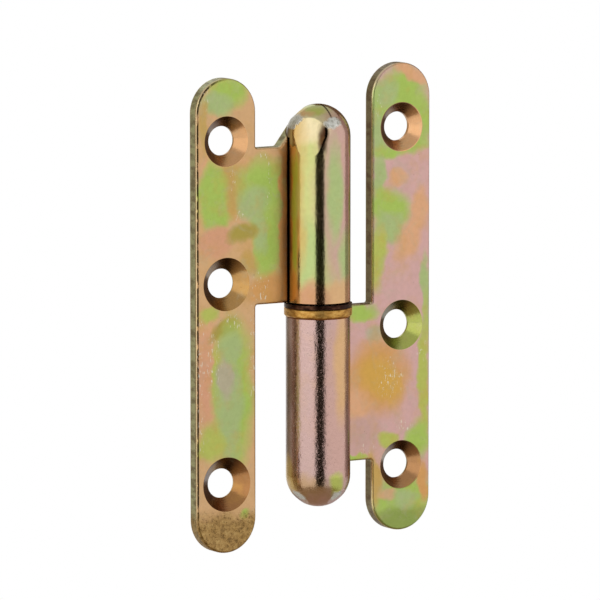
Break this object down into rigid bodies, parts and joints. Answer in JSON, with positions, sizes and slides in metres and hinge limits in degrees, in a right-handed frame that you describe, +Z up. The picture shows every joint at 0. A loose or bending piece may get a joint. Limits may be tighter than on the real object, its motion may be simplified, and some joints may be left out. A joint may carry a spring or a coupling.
{
  "type": "lift-off hinge",
  "caption": "Lift-off door hinge with flat round-ended leaves, countersunk screw holes and rolled domed knuckles that turn on a fixed pin over a brass bearing ring.",
  "frame": {"origin": "on the pin's axis, midway up the hinge, at the centre of its box with both leaves flat open", "axes": "+Z up along the pin, the way the door leaf lifts off; +X towards the frame leaf; +Y out of the leaves' flat backs, which bear on door and frame; screws go in from -Y"},
  "size_m": [0.0636, 0.0158, 0.1114],
  "materials": {
    "leaf_plating": "yellow chromated zinc plating, green and pink iridescent patches",
    "pin_steel": "plain ground steel, lightly oiled",
    "ring_brass": "turned brass, satin",
    "washer_steel": "thin blackened steel, brown where it is rubbed"
  },
  "bodies": {
    "frame_side": {"frame_leaf": "leaf_plating", "hinge_pin": "pin_steel"},
    "ring": {"bearing_ring": "ring_brass", "spacer_washer": "washer_steel"},
    "door_side": {"door_leaf": "leaf_plating"}
  },
  "joints": [
    {"name": "leaf_swing", "type": "hinge", "parent": "frame_side", "child": "ring", "pos_m": [0, 0, 0], "axis": [0, 0, 1], "range_deg": [-145, 180]},
    {"name": "lift_off", "type": "slide", "parent": "ring", "child": "door_side", "axis": [0, 0, 1], "range_m": [0, 0.045]}
  ]
}
